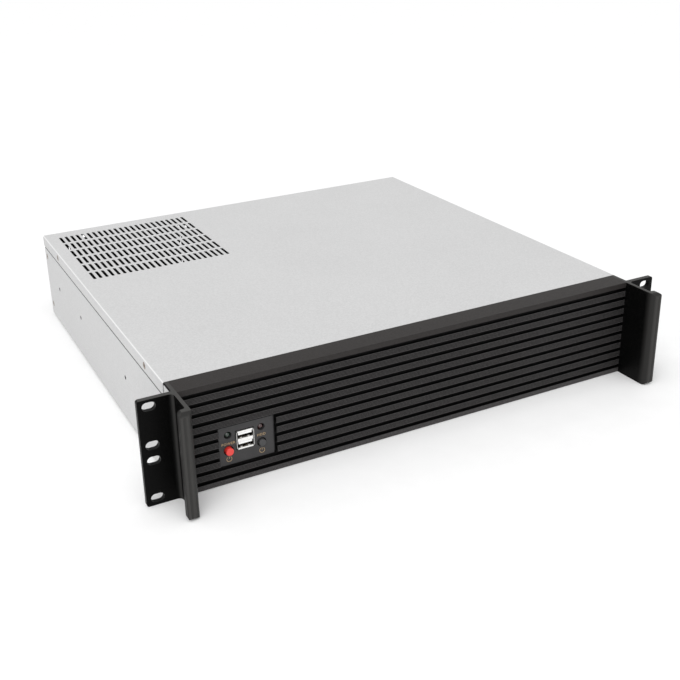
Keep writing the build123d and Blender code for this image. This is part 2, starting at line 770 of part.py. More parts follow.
with BuildPart() as io_plate:
    with BuildSketch(front_plane(io_face)):
        with Locations((io_centre_x - io_side_gap / 2, io_centre_z)):
            Rectangle(*io_plate_size)
    extrude(amount=-(web_back - io_face))
    with BuildSketch(front_plane(web_back)):
        with Locations((io_centre_x, io_centre_z)):
            Rectangle(*io_rim_size)
    extrude(amount=-io_rim_thickness)
    with BuildSketch(front_plane(io_rim_back)):
        with Locations(*post_points):
            Circle(io_post_radius)
    extrude(amount=-io_board_gap)
    with BuildSketch(front_plane(io_face - cut_over)):
        with Locations((left_item_x, light_z), (right_item_x, light_z)):
            Circle(light_hole_radius)
        with Locations((left_item_x, button_z)):
            Circle(power_cap_radius + button_hole_play)
        with Locations((right_item_x, button_z)):
            Circle(reset_cap_radius + button_hole_play)
        with Locations((item_centre_x, usb_z)):
            Rectangle(usb_width + 2 * io_play, usb_height + 2 * io_play)
    extrude(amount=-(io_rim_back - io_face + 2 * cut_over), mode=Mode.SUBTRACT)
    io_screw_length = io_board_thickness + io_board_gap / 2
    io_screw_planes = [Plane((x, io_board_back, z), z_dir=(0, 1, 0)) for x, z in post_points]
    with Locations(*io_screw_planes):
        Hole(screw_radius + screw_play, depth=io_screw_length + cut_over)
save(io_plate, "io_plate")
save(pan_screws(io_screw_planes, io_screw_length), "io_screws")

# Circuit board behind the control plate
with BuildPart() as io_board:
    with BuildSketch(front_plane(io_board_front)):
        with Locations((io_centre_x, io_centre_z)):
            Rectangle(*io_rim_size)
        with Locations(*post_points):
            Circle(screw_radius + screw_play, mode=Mode.SUBTRACT)
    extrude(amount=-io_board_thickness)
save(io_board, "io_board")

# Double USB socket: a steel shell around two ports, and the white tongues that carry the contacts
usb_front = io_face - usb_proud
port_zs = [usb_z + end * usb_port_pitch / 2 for end in ends]
usb_block_front = io_board_front - usb_block_depth
with BuildPart() as usb_shell:
    with BuildSketch(front_plane(usb_front)):
        with Locations((item_centre_x, usb_z)):
            RectangleRounded(usb_width, usb_height, usb_wall)
        with Locations(*[(item_centre_x, z) for z in port_zs]):
            Rectangle(*usb_port, mode=Mode.SUBTRACT)
    extrude(amount=-(io_board_front - usb_front))
save(usb_shell, "usb_shell")
with BuildPart() as usb_tongues:
    for z in port_zs:
        with BuildSketch(front_plane(usb_block_front)):
            with Locations((item_centre_x, z)):
                Rectangle(usb_port[0], usb_port[1])
        extrude(amount=-usb_block_depth)
        with BuildSketch(front_plane(usb_front + usb_tongue_recess)):
            with Locations((item_centre_x, z + usb_tongue_rise)):
                Rectangle(*usb_tongue)
        extrude(amount=-(usb_block_front - usb_front - usb_tongue_recess))
save(usb_tongues, "usb_tongues")

# Lamps: domed body with a flange at its base and two leads to the board
for light_name, light_x in (("power_light", left_item_x), ("drive_light", right_item_x)):
    with BuildPart() as light:
        light_front = io_face + light_recess
        light_back = light_front + light_length
        with BuildSketch(front_plane(light_back)):
            with Locations((light_x, light_z)):
                Circle(light_radius)
        extrude(amount=light_length - light_radius)
        with Locations((light_x, light_front + light_radius, light_z)):
            Sphere(light_radius)
        with BuildSketch(front_plane(light_back)):
            with Locations((light_x, light_z)):
                Circle(light_flange_radius)
        extrude(amount=light_flange_thickness)
        with BuildSketch(front_plane(light_back)):
            with Locations((light_x, light_z)):
                with GridLocations(light_lead_spacing, 1, 2, 1):
                    Circle(light_lead_radius)
        extrude(amount=-(io_board_front - light_back))
    save(light, light_name)

# Push buttons and the switches that they press
rim_front = io_rim_back + button_play
switch_front = io_board_front - switch_height
stem_back = switch_front + switch_height - switch_floor - button_travel - button_play
button_kinds = (
    ("power", left_item_x, power_cap_radius, power_cap_proud),
    ("reset", right_item_x, reset_cap_radius, reset_cap_proud),
)
for button_name, button_x, cap_radius, cap_proud in button_kinds:
    with BuildPart() as button:
        with BuildSketch(front_plane(io_face - cap_proud)):
            with Locations((button_x, button_z)):
                Circle(cap_radius)
        extrude(amount=-(rim_front - io_face + cap_proud))
        face_edge = edges().group_by(Axis.Y)[0]
        fillet(face_edge, cap_rim_radius)
        with BuildSketch(front_plane(rim_front)):
            with Locations((button_x, button_z)):
                Circle(cap_radius + button_rim)
        extrude(amount=-button_rim_thickness)
        with BuildSketch(front_plane(rim_front)):
            with Locations((button_x, button_z)):
                Circle(button_stem_radius)
        extrude(amount=-(stem_back - rim_front))
    save(button, f"{button_name}_button")
    with BuildPart() as switch:
        with BuildSketch(front_plane(switch_front)):
            with Locations((button_x, button_z)):
                Rectangle(*switch_body)
                Circle(button_stem_radius + button_play, mode=Mode.SUBTRACT)
        extrude(amount=-switch_height)
        with BuildSketch(front_plane(io_board_front - switch_floor)):
            with Locations((button_x, button_z)):
                Rectangle(*switch_body)
        extrude(amount=-switch_floor)
    save(switch, f"{button_name}_switch")

# Pin header for the leads, on the back of the board
with BuildPart() as io_header:
    header_z = io_centre_z - header_drop
    with BuildSketch(front_plane(io_board_back)):
        with Locations((io_centre_x, header_z)):
            Rectangle(header_pins * header_pitch, 2 * header_pitch)
    extrude(amount=-header_base)
    with BuildSketch(front_plane(io_board_back + header_base)):
        with Locations((io_centre_x, header_z)):
            with GridLocations(header_pitch, header_pitch, header_pins, 2):
                Rectangle(header_pin, header_pin)
    extrude(amount=-header_pin_length)
save(io_header, "io_header")
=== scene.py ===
import math

import bmesh
import bpy
from mathutils import Matrix, Vector


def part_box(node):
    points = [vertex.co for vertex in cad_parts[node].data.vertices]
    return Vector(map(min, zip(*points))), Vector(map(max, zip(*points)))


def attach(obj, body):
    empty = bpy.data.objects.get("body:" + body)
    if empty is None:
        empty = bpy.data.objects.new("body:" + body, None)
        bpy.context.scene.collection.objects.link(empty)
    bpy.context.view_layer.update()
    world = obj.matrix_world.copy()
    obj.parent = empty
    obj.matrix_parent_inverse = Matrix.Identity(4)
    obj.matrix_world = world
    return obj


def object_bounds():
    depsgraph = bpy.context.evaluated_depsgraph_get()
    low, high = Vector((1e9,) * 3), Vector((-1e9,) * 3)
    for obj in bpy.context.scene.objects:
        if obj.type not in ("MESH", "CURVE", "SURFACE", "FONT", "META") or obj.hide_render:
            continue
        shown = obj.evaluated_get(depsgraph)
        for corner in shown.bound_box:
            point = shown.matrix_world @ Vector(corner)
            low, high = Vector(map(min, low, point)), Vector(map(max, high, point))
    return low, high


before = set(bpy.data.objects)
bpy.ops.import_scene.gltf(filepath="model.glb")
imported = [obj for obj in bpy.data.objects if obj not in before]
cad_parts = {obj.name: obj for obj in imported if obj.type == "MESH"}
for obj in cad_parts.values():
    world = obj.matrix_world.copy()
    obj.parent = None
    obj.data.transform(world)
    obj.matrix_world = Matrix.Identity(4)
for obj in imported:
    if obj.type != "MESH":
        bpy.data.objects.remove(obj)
cad_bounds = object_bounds()


# Shader building blocks: every pattern stands on object coordinates, in metres

def new_material(name):
    """A material with its principled shader and its object coordinates."""
    mat = bpy.data.materials.new(name)
    mat.use_nodes = True
    tree = mat.node_tree
    shader = tree.nodes["Principled BSDF"]
    coords = tree.nodes.new("ShaderNodeTexCoord")
    return mat, tree, shader, coords.outputs["Object"]


def scaled(tree, vector, scale):
    """Coordinates stretched by a factor for each axis."""
    mapping = tree.nodes.new("ShaderNodeMapping")
    mapping.inputs["Scale"].default_value = scale
    tree.links.new(vector, mapping.inputs["Vector"])
    return mapping.outputs["Vector"]


def noise(tree, vector, scale, detail=3.0, rough=0.55):
    """A cloud pattern between 0 and 1."""
    node = tree.nodes.new("ShaderNodeTexNoise")
    node.inputs["Scale"].default_value = scale
    node.inputs["Detail"].default_value = detail
    node.inputs["Roughness"].default_value = rough
    tree.links.new(vector, node.inputs["Vector"])
    return node.outputs["Fac"]


def between(tree, factor, low, high, start=0.3, end=0.7):
    """A number that goes from low to high as the factor goes from start to end."""
    node = tree.nodes.new("ShaderNodeMapRange")
    node.inputs["From Min"].default_value = start
    node.inputs["From Max"].default_value = end
    node.inputs["To Min"].default_value = low
    node.inputs["To Max"].default_value = high
    tree.links.new(factor, node.inputs["Value"])
    return node.outputs["Result"]


def ramp(tree, factor, stops):
    """A colour ramp through (position, colour) stops."""
    node = tree.nodes.new("ShaderNodeValToRGB")
    elements = node.color_ramp.elements
    elements[0].position, elements[0].color = stops[0][0], (*stops[0][1], 1.0)
    elements[1].position, elements[1].color = stops[-1][0], (*stops[-1][1], 1.0)
    for position, colour in stops[1:-1]:
        stop = elements.new(position)
        stop.color = (*colour, 1.0)
    tree.links.new(factor, node.inputs["Fac"])
    return node.outputs["Color"]


def bump(tree, shader, heights):
    """Surface relief: a chain of (height, strength, distance) bumps."""
    normal = None
    for height, strength, distance in heights:
        node = tree.nodes.new("ShaderNodeBump")
        node.inputs["Strength"].default_value = strength
        node.inputs["Distance"].default_value = distance
        tree.links.new(height, node.inputs["Height"])
        if normal is not None:
            tree.links.new(normal, node.inputs["Normal"])
        normal = node.outputs["Normal"]
    tree.links.new(normal, shader.inputs["Normal"])


def shade(colour, factor):
    """A colour made lighter or darker by a factor, and never brighter than 1."""
    return tuple(min(1.0, c * factor) for c in colour)


def tones(colour, stops):
    """Ramp stops in shades of one colour, from (position, factor) pairs."""
    return [(position, shade(colour, factor)) for position, factor in stops]


def even_tones(colour, spread, start=0.3, end=0.7):
    """Ramp stops from a darker to an equally lighter shade of a colour."""
    return tones(colour, [(start, 1 - spread), (end, 1 + spread)])


def vary_roughness(tree, shader, pattern, roughness, swing, start=0.3, end=0.7):
    """A roughness that swings around a value with a pattern."""
    low, high = (roughness + change for change in swing)
    tree.links.new(between(tree, pattern, low, high, start, end), shader.inputs["Roughness"])


def number(tree, operation, first, second=0.0):
    """One math node. Each operand is a socket or a plain number."""
    node = tree.nodes.new("ShaderNodeMath")
    node.operation = operation
    for socket, value in zip(node.inputs, (first, second)):
        if isinstance(value, float):
            socket.default_value = value
        else:
            tree.links.new(value, socket)
    return node.outputs["Value"]


def all_of(tree, *masks):
    """1 where every mask is 1."""
    result = masks[0]
    for mask in masks[1:]:
        result = number(tree, "MULTIPLY", result, mask)
    return result


def any_of(tree, *masks):
    """The strongest of the masks."""
    result = masks[0]
    for mask in masks[1:]:
        result = number(tree, "MAXIMUM", result, mask)
    return result


def axes(tree, where):
    """The X, Y and Z of a place."""
    node = tree.nodes.new("ShaderNodeSeparateXYZ")
    tree.links.new(where, node.inputs["Vector"])
    return node.outputs["X"], node.outputs["Y"], node.outputs["Z"]


def mixed(tree, factor, first, second):
    """A colour between two. Each is a socket or a plain colour."""
    node = tree.nodes.new("ShaderNodeMix")
    node.data_type = "RGBA"
    tree.links.new(factor, node.inputs["Factor"])
    for socket, value in ((node.inputs["A"], first), (node.inputs["B"], second)):
        if isinstance(value, tuple):
            socket.default_value = (*value, 1.0)
        else:
            tree.links.new(value, socket)
    return node.outputs["Result"]


def overpaint(mat, mask, colour):
    """Another base colour where the mask says."""
    tree = mat.node_tree
    base = tree.nodes["Principled BSDF"].inputs["Base Color"]
    where = tree.nodes["Texture Coordinate"].outputs["Object"]
    tree.links.new(mixed(tree, mask(tree, where), base.links[0].from_socket, colour), base)


# Kinds of finish. A SCALE is a pattern's density for each metre, a DEPTH its relief in metres, a SWING how
# far the roughness goes below and above its value, and TONES are a ramp's positions and shades
CLOUD_SCALE = 14.0
SPECKLE_RATIO = 2.5
SPECKLE_START = 0.36
SPECKLE_END = 0.64
SPECKLE_SHARE = (0.35, 0.85)
PEEL_DEPTH = 0.0002
POWDER_SWING = (-0.05, 0.06)
GRAIN_RATIO = 2.3
GRAIN_RELIEF = 0.6
GRAIN_DEPTH = 0.00005

STAIN_SCALE = 60.0
STAIN_TONES = ((0.3, 0.86), (0.55, 1.0), (0.75, 1.08))
LINE_DEPTH = 0.0001
LINE_SWING = (-0.08, 0.1)

SPANGLE_SCALE = 220.0
SPANGLE_TONES = ((0.0, 0.88), (1.0, 1.06))
SPANGLE_SWING = (-0.07, 0.09)
ETCH_SCALE = 900.0
ETCH_RELIEF = 0.08
ETCH_DEPTH = 0.0001

FLOW_SCALE = 120.0
MOULD_DEPTH = 0.00006
MOULD_SWING = (-0.06, 0.08)
COAT_ROUGHNESS = 0.08

WEAVE_SCALE = 1600.0
WEAVE_DARK = (0.015, 0.11, 0.045, 1.0)
WEAVE_LIGHT = (0.02, 0.14, 0.055, 1.0)
COPPER_SCALE = 350.0
COPPER_GREEN = (0.05, 0.2, 0.08)
COPPER_START = 0.52
COPPER_END = 0.56
COPPER_RELIEF = 0.2
COPPER_DEPTH = 0.00004
BOARD_ROUGHNESS = (0.3, 0.42)


def powder_coat(name, colour, roughness, grain, relief, spread, specular, other=None, mask=None):
    """Baked powder paint: orange peel, faint clouds and grains, and another colour where the mask says."""
    mat, tree, shader, where = new_material(name)
    clouds = noise(tree, where, CLOUD_SCALE, detail=4.0)
    peel = noise(tree, where, grain, detail=2.0)
    fine = noise(tree, where, grain * GRAIN_RATIO, detail=1.0)
    soft = ramp(tree, clouds, even_tones(colour, spread))
    speckled = ramp(tree, peel, even_tones(colour, SPECKLE_RATIO * spread, SPECKLE_START, SPECKLE_END))
    paint = mixed(tree, between(tree, fine, *SPECKLE_SHARE), soft, speckled)
    if mask is not None:
        paint = mixed(tree, mask(tree, where), paint, other)
    tree.links.new(paint, shader.inputs["Base Color"])
    vary_roughness(tree, shader, peel, roughness, POWDER_SWING)
    shader.inputs["Specular IOR Level"].default_value = specular
    bump(tree, shader, [(peel, relief, PEEL_DEPTH), (fine, relief * GRAIN_RELIEF, GRAIN_DEPTH)])
    return mat


def plated(name, colour, roughness, scale, stretch=(1.0, 1.0, 1.0), relief=0.12):
    """Plated metal with soft stains and fine lines, which run along an axis where they are stretched."""
    mat, tree, shader, where = new_material(name)
    shader.inputs["Metallic"].default_value = 1.0
    lines = noise(tree, scaled(tree, where, stretch), scale)
    stains = noise(tree, where, STAIN_SCALE, detail=4.0)
    tree.links.new(ramp(tree, stains, tones(colour, STAIN_TONES)), shader.inputs["Base Color"])
    vary_roughness(tree, shader, lines, roughness, LINE_SWING)
    bump(tree, shader, [(lines, relief, LINE_DEPTH)])
    return mat


def spangled(name, colour, roughness):
    """Zinc plated sheet: small crystal fields of slightly different brightness."""
    mat, tree, shader, where = new_material(name)
    shader.inputs["Metallic"].default_value = 1.0
    cells = tree.nodes.new("ShaderNodeTexVoronoi")
    cells.inputs["Scale"].default_value = SPANGLE_SCALE
    tree.links.new(where, cells.inputs["Vector"])
    grey = tree.nodes.new("ShaderNodeSeparateColor")
    tree.links.new(cells.outputs["Color"], grey.inputs["Color"])
    tree.links.new(ramp(tree, grey.outputs["Red"], tones(colour, SPANGLE_TONES)), shader.inputs["Base Color"])
    vary_roughness(tree, shader, grey.outputs["Green"], roughness, SPANGLE_SWING, start=0.0, end=1.0)
    bump(tree, shader, [(noise(tree, where, ETCH_SCALE), ETCH_RELIEF, ETCH_DEPTH)])
    return mat


def moulded(name, colour, roughness, grain=2200.0, relief=0.15, coat=0.0, spread=0.06):
    """Moulded plastic with a fine spark-eroded skin."""
    mat, tree, shader, where = new_material(name)
    flow = noise(tree, where, FLOW_SCALE)
    skin = noise(tree, where, grain, detail=2.0)
    tree.links.new(ramp(tree, flow, even_tones(colour, spread)), shader.inputs["Base Color"])
    vary_roughness(tree, shader, skin, roughness, MOULD_SWING)
    shader.inputs["Coat Weight"].default_value = coat
    shader.inputs["Coat Roughness"].default_value = COAT_ROUGHNESS
    bump(tree, shader, [(skin, relief, MOULD_DEPTH)])
    return mat


def board_mask(name):
    """Circuit board: green lacquer over a woven core, with faint copper under it."""
    mat, tree, shader, where = new_material(name)
    weave = tree.nodes.new("ShaderNodeTexChecker")
    weave.inputs["Scale"].default_value = WEAVE_SCALE
    weave.inputs["Color1"].default_value = WEAVE_DARK
    weave.inputs["Color2"].default_value = WEAVE_LIGHT
    tree.links.new(where, weave.inputs["Vector"])
    copper = noise(tree, where, COPPER_SCALE, detail=0.0)
    tracks = between(tree, copper, 0.0, 1.0, COPPER_START, COPPER_END)
    tree.links.new(mixed(tree, tracks, weave.outputs["Color"], COPPER_GREEN), shader.inputs["Base Color"])
    tree.links.new(between(tree, copper, *BOARD_ROUGHNESS), shader.inputs["Roughness"])
    bump(tree, shader, [(copper, COPPER_RELIEF, COPPER_DEPTH)])
    return mat


# Faces of the case that the masks below start from
CASE_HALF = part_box("top_cover")[1][0]
CASE_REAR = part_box("top_cover")[1][1]
CASE_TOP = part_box("top_cover")[1][2]
COVER_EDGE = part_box("top_cover")[0][2]
PANEL_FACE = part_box("base_tray")[1][1]
RACK_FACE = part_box("bezel")[0][1]
GRIP_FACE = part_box("right_handle")[0][1]
WEB_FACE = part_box("right_handle")[0][0]
SHELL_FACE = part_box("usb_shell")[0][1]

# How deep below a face the light grey paint reaches before the painted shade of the inner faces starts, in
# metres. The tray's sides have two depths, one below and one above the step that tucks them in under the
# cover, and their rear edges have their own
SKIN = 0.0005
SIDE_SKIN = 0.0001
TUCKED_SKIN = 0.0004
EDGE_SKIN = 0.0003

# Where a mask ends, or the start and the end of its change, along one axis
NO_LIMIT = 1.0
SIDE_STEP = (COVER_EDGE - 0.00325, COVER_EDGE - 0.00305)
BEND_CORNER = CASE_HALF + CASE_TOP - 0.001
RIBS_HALF = CASE_TOP - 0.0011
GROOVE_MOUTH = (RACK_FACE + 0.00002, RACK_FACE + 0.00014)
TOP_EDGE = (CASE_TOP - 0.0003, CASE_TOP - 0.0001)
STRIP_EDGE = (CASE_TOP - 0.0046, CASE_TOP - 0.0044)
GRIP_TIP = (GRIP_FACE + 0.0001, GRIP_FACE + 0.0012)
GRIP_SIDE = (GRIP_FACE + 0.004, GRIP_FACE + 0.0095)
ROOT_START = (RACK_FACE - 0.005, RACK_FACE - 0.0035)
ROOT_END = (RACK_FACE - 0.0012, RACK_FACE - 0.0002)
PAST_WEB = WEB_FACE + 0.0032
SOCKET_MOUTH = (SHELL_FACE + 0.0006, SHELL_FACE + 0.0022)

# How strong a mask is where it covers only in part
TIP_STRENGTH = 0.5
ROOT_STRENGTH = 0.6
STRIP_STRENGTH = 0.7

# Pale grains all over the handles' paint
GRAINS_SCALE = 1500.0
GRAINS_RANGE = (0.55, 0.72)
GRAINS_STRENGTH = 0.18


def inside_box(tree, where, half_x=NO_LIMIT, back_y=NO_LIMIT, low_z=-NO_LIMIT, high_z=NO_LIMIT):
    """1 where a place is inside a folded sheet's outer skin, 0 on the skin."""
    x, y, z = axes(tree, where)
    return all_of(
        tree,
        number(tree, "LESS_THAN", number(tree, "ABSOLUTE", x), half_x),
        number(tree, "LESS_THAN", y, back_y),
        number(tree, "GREATER_THAN", z, low_z),
        number(tree, "LESS_THAN", z, high_z),
    )


def tray_shade_mask(tree, where):
    """Painted shade on the tray's inner faces, the walls of its holes, and the step that tucks its sides in.
    """
    x, _, z = axes(tree, where)
    skin = between(tree, z, SIDE_SKIN, TUCKED_SKIN, *SIDE_STEP)
    below_skin = number(tree, "LESS_THAN", number(tree, "ADD", number(tree, "ABSOLUTE", x), skin), CASE_HALF)
    inside = inside_box(tree, where, back_y=PANEL_FACE - EDGE_SKIN, low_z=-CASE_TOP + SKIN)
    return all_of(tree, below_skin, inside)


def cover_shade_mask(tree, where):
    """Painted shade on the cover's inner faces and the walls of its vents."""
    return inside_box(tree, where, CASE_HALF - SKIN, CASE_REAR - SKIN, high_z=CASE_TOP - SKIN)


def panel_shade_mask(tree, where):
    """Painted shade on the rear panel's inner face and the walls of its windows."""
    return inside_box(tree, where, back_y=PANEL_FACE - SKIN)


def cover_bend_highlights(tree, where):
    """A painted highlight along the two long bends of the cover."""
    x, _, z = axes(tree, where)
    outward = number(tree, "ADD", number(tree, "ABSOLUTE", x), z)
    return number(tree, "GREATER_THAN", outward, BEND_CORNER)


def grooves(tree, where):
    """Painted shade: 1 in the grooves and the fine lines of the ribbed front, and in the hollow behind it."""
    _, y, z = axes(tree, where)
    depth = between(tree, y, 0.0, 1.0, *GROOVE_MOUTH)
    return all_of(tree, depth, number(tree, "LESS_THAN", number(tree, "ABSOLUTE", z), RIBS_HALF))


def bezel_top_shade(tree, where):
    """Painted shade on the bezel's flat top, and in part on the plain strip of its front below that."""
    _, _, z = axes(tree, where)
    strip = between(tree, z, 0.0, STRIP_STRENGTH, *STRIP_EDGE)
    return any_of(tree, strip, between(tree, z, 0.0, 1.0, *TOP_EDGE))


def handle_sheen_and_grains(tree, where):
    """Where the handles are paler: a painted highlight on the grip fronts, the top edges and the ears' roots,
    and real pale grains all over.
    """
    x, y, z = axes(tree, where)
    tip = between(tree, y, 1.0, TIP_STRENGTH, *GRIP_TIP)
    grip = all_of(tree, tip, between(tree, y, 1.0, 0.0, *GRIP_SIDE))
    top_edge = between(tree, z, 0.0, 1.0, *TOP_EDGE)
    root = all_of(
        tree,
        between(tree, y, 0.0, ROOT_STRENGTH, *ROOT_START),
        between(tree, y, 1.0, 0.0, *ROOT_END),
        number(tree, "GREATER_THAN", number(tree, "ABSOLUTE", x), PAST_WEB),
    )
    pattern = noise(tree, where, GRAINS_SCALE, detail=1.0)
    grains = between(tree, pattern, 0.0, GRAINS_STRENGTH, *GRAINS_RANGE)
    return any_of(tree, grip, top_edge, root, grains)


def socket_shade_mask(tree, where):
    """Painted shade inside the sockets, from their mouths inwards."""
    _, y, _ = axes(tree, where)
    return between(tree, y, 0.0, 1.0, *SOCKET_MOUTH)


# The sheet metal is painted light grey outside. Its inner faces, hole walls and tucked step get a painted
# shade of dark grey, the pieces inside the case a painted shade of mid grey, and the cover's bends a painted
# highlight
LIGHT_GREY = (0.566, 0.566, 0.567)
BEND_HIGHLIGHT = (0.74, 0.74, 0.74)
INSIDE_SHADE = (0.022, 0.022, 0.023)
INSIDE_PIECES_SHADE = (0.12, 0.12, 0.122)


def paint_with_shade(name, mask):
    """The case's light grey paint, with a painted shade of dark grey where the mask says."""
    return powder_coat(
        name, LIGHT_GREY, roughness=0.54, grain=760.0, relief=0.22, spread=0.038, specular=0.34,
        other=INSIDE_SHADE, mask=mask,
    )


# The case's paint, with painted shade on the inner faces, hole walls and tucked step
tray_paint = paint_with_shade("tray_paint", tray_shade_mask)
cover_paint = paint_with_shade("cover_paint", cover_shade_mask)
# A painted highlight along the cover's bends
overpaint(cover_paint, cover_bend_highlights, BEND_HIGHLIGHT)
panel_paint = paint_with_shade("panel_paint", panel_shade_mask)
# The pieces inside the case get a painted shade of mid grey
inside_pieces_shade = powder_coat(
    "inside_pieces_shade", INSIDE_PIECES_SHADE, roughness=0.55, grain=620.0, relief=0.16, spread=0.03, specular=0.3
)

# The front is black. Painted shade darkens its grooves, the bezel's top and the inside of the sockets, and a
# painted highlight lightens the handles
RIB_BLACK = (0.051, 0.048, 0.048)
GROOVE_SHADE = (0.0012, 0.0012, 0.0012)
TOP_SHADE = (0.0152, 0.0125, 0.0114)
EAR_BLACK = (0.0010, 0.0010, 0.0010)
SHEEN_AND_GRAIN_GREY = (0.050, 0.0488, 0.047)
SOCKET_SHADE = (0.10, 0.09, 0.08)

# The ribs' black, with painted shade in their grooves
rib_paint = powder_coat(
    "rib_paint", RIB_BLACK, roughness=0.5, grain=1100.0, relief=0.3, spread=0.16, specular=0.17,
    other=GROOVE_SHADE, mask=grooves,
)
# Painted shade on the bezel's top and, in part, on the plain strip below it
overpaint(rib_paint, bezel_top_shade, TOP_SHADE)
# Black handles with a painted highlight on the grip fronts, top edges and ears' roots, and pale grains all
# over
handle_paint = powder_coat(
    "handle_paint", EAR_BLACK, roughness=0.4, grain=1300.0, relief=0.35, spread=0.15, specular=0.07,
    other=SHEEN_AND_GRAIN_GREY, mask=handle_sheen_and_grains,
)

# Bare and plated metal
zinc = spangled("zinc_sheet", (0.56, 0.57, 0.59), roughness=0.36)
nickel = plated("nickel", (0.27, 0.225, 0.185), roughness=0.42, scale=1800.0)
black_zinc = plated("black_zinc", (0.06, 0.06, 0.065), roughness=0.42, scale=1800.0)
shell_metal = plated(
    "shell_metal", (0.97, 0.96, 0.94), roughness=0.3, scale=1400.0, stretch=(1.0, 0.15, 1.0), relief=0.08
)
# Painted shade inside the sockets
overpaint(shell_metal, socket_shade_mask, SOCKET_SHADE)
brass = plated("brass", (0.71, 0.5, 0.22), roughness=0.3, scale=900.0, stretch=(1.0, 1.0, 6.0))
gold = plated("gold", (0.86, 0.6, 0.26), roughness=0.25, scale=1500.0, stretch=(1.0, 0.2, 1.0), relief=0.06)

# Plastic, the circuit board and the print
control_black = moulded(
    "control_black", (0.032, 0.031, 0.032), roughness=0.6, grain=1500.0, relief=0.25, spread=0.08
)
black_plastic = moulded("black_plastic", (0.012, 0.012, 0.013), roughness=0.42)
cap_black = moulded("cap_black", (0.045, 0.045, 0.047), roughness=0.45, grain=1800.0, relief=0.1)
red_plastic = moulded(
    "red_plastic", (0.80, 0.045, 0.035), roughness=0.34, grain=1800.0, relief=0.1, coat=0.35, spread=0.05
)
white_plastic = moulded(
    "white_plastic", (0.97, 0.97, 0.96), roughness=0.35, grain=1800.0, relief=0.08, coat=0.1, spread=0.02
)
green_lens = moulded(
    "green_lens", (0.003, 0.016, 0.008), roughness=0.22, grain=900.0, relief=0.05, coat=1.0, spread=0.2
)
red_lens = moulded(
    "red_lens", (0.035, 0.006, 0.006), roughness=0.22, grain=900.0, relief=0.05, coat=1.0, spread=0.2
)
board_green = board_mask("board_green")
print_gold = moulded(
    "print_gold", (0.46, 0.315, 0.16), roughness=0.5, grain=2600.0, relief=0.1, spread=0.12
)

node_materials = {
    "base_tray": tray_paint, "top_cover": cover_paint, "rear_panel": panel_paint,
    "front_wall": inside_pieces_shade, "cross_bar": inside_pieces_shade,
    "drive_cage": zinc, "psu_bracket": zinc,
    "slot_cover_1": zinc, "slot_cover_2": zinc, "slot_cover_3": zinc, "slot_cover_4": zinc,
    "bezel": rib_paint, "left_handle": handle_paint, "right_handle": handle_paint,
    "io_plate": control_black, "io_board": board_green, "io_header": black_plastic,
    "usb_shell": shell_metal, "usb_tongues": white_plastic,
    "power_light": green_lens, "drive_light": red_lens,
    "power_button": red_plastic, "reset_button": cap_black,
    "power_switch": black_plastic, "reset_switch": black_plastic,
    "board_standoffs": brass, "handle_screws": black_zinc,
    "cover_screws": nickel, "rear_panel_screws": nickel, "bezel_screws": nickel,
    "floor_screws": nickel, "bar_screws": nickel, "slot_screws": nickel, "io_screws": nickel,
}
for node_name, material in node_materials.items():
    for material_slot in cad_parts[node_name].material_slots:
        material_slot.material = material


# Pieces that this script adds to the case

def middle(box):
    """The middle of a box."""
    return [(box[0][i] + box[1][i]) / 2 for i in range(3)]


def piece(name, build, material):
    """A mesh piece that rides on the case."""
    mesh = bpy.data.meshes.new(name)
    work = bmesh.new()
    build(work)
    bmesh.ops.recalc_face_normals(work, faces=work.faces)
    work.to_mesh(mesh)
    work.free()
    obj = bpy.data.objects.new(name, mesh)
    bpy.context.scene.collection.objects.link(obj)
    mesh.materials.append(material)
    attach(obj, "case")


def rectangle(x_start, x_end, z_start, z_end):
    """The outline of an upright rectangle in X and Z."""
    return [(x_start, z_start), (x_end, z_start), (x_end, z_end), (x_start, z_end)]


def prism(work, outline, y_front, y_back):
    """A closed outline in X and Z, given as points, drawn out along Y."""
    front = [work.verts.new((x, y_front, z)) for x, z in outline]
    back = [work.verts.new((x, y_back, z)) for x, z in outline]
    work.faces.new(front)
    work.faces.new(list(reversed(back)))
    for i in range(len(front)):
        j = (i + 1) % len(front)
        work.faces.new((front[i], back[i], back[j], front[j]))


def arc_band(work, centre, inner, outer, start, end, steps, y_front, y_back):
    """Part of a flat ring that faces the front, between two angles in degrees."""
    points = []
    for radius, order in ((outer, range(steps + 1)), (inner, range(steps, -1, -1))):
        for k in order:
            angle = math.radians(start + (end - start) * k / steps)
            points.append((centre[0] + radius * math.cos(angle), centre[1] + radius * math.sin(angle)))
    for k in range(steps):
        a, b = points[k], points[k + 1]
        c, d = points[2 * steps - k], points[2 * steps + 1 - k]
        prism(work, [a, b, c, d], y_front, y_back)


plate_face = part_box("io_plate")[0][1]
power_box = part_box("power_button")
reset_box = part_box("reset_button")
shell_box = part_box("usb_shell")
tongue_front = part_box("usb_tongues")[0][1]
shell_middle = middle(shell_box)
both_ways = (-1, 1)

# The two ports, one over the other, each with a tongue
PORT_PITCH = 0.0079
PORT_FLOOR = 0.00256
TONGUE_RISE = 0.0012
TONGUE_THICK = 0.00184

# Contact strips under the two tongues
CONTACT_PLACES = (-0.0035, -0.001, 0.001, 0.0035)
CONTACT_HALF = 0.0005
CONTACT_THICK = 0.00012
CONTACT_START = 0.0004
CONTACT_END = 0.0078


def contacts(work):
    for side in both_ways:
        z_under = shell_middle[2] + side * PORT_PITCH / 2 + TONGUE_RISE - TONGUE_THICK / 2
        for place in CONTACT_PLACES:
            x = shell_middle[0] + place
            strip = rectangle(x - CONTACT_HALF, x + CONTACT_HALF, z_under - CONTACT_THICK, z_under)
            prism(work, strip, tongue_front + CONTACT_START, tongue_front + CONTACT_END)


piece("usb_contacts", contacts, gold)

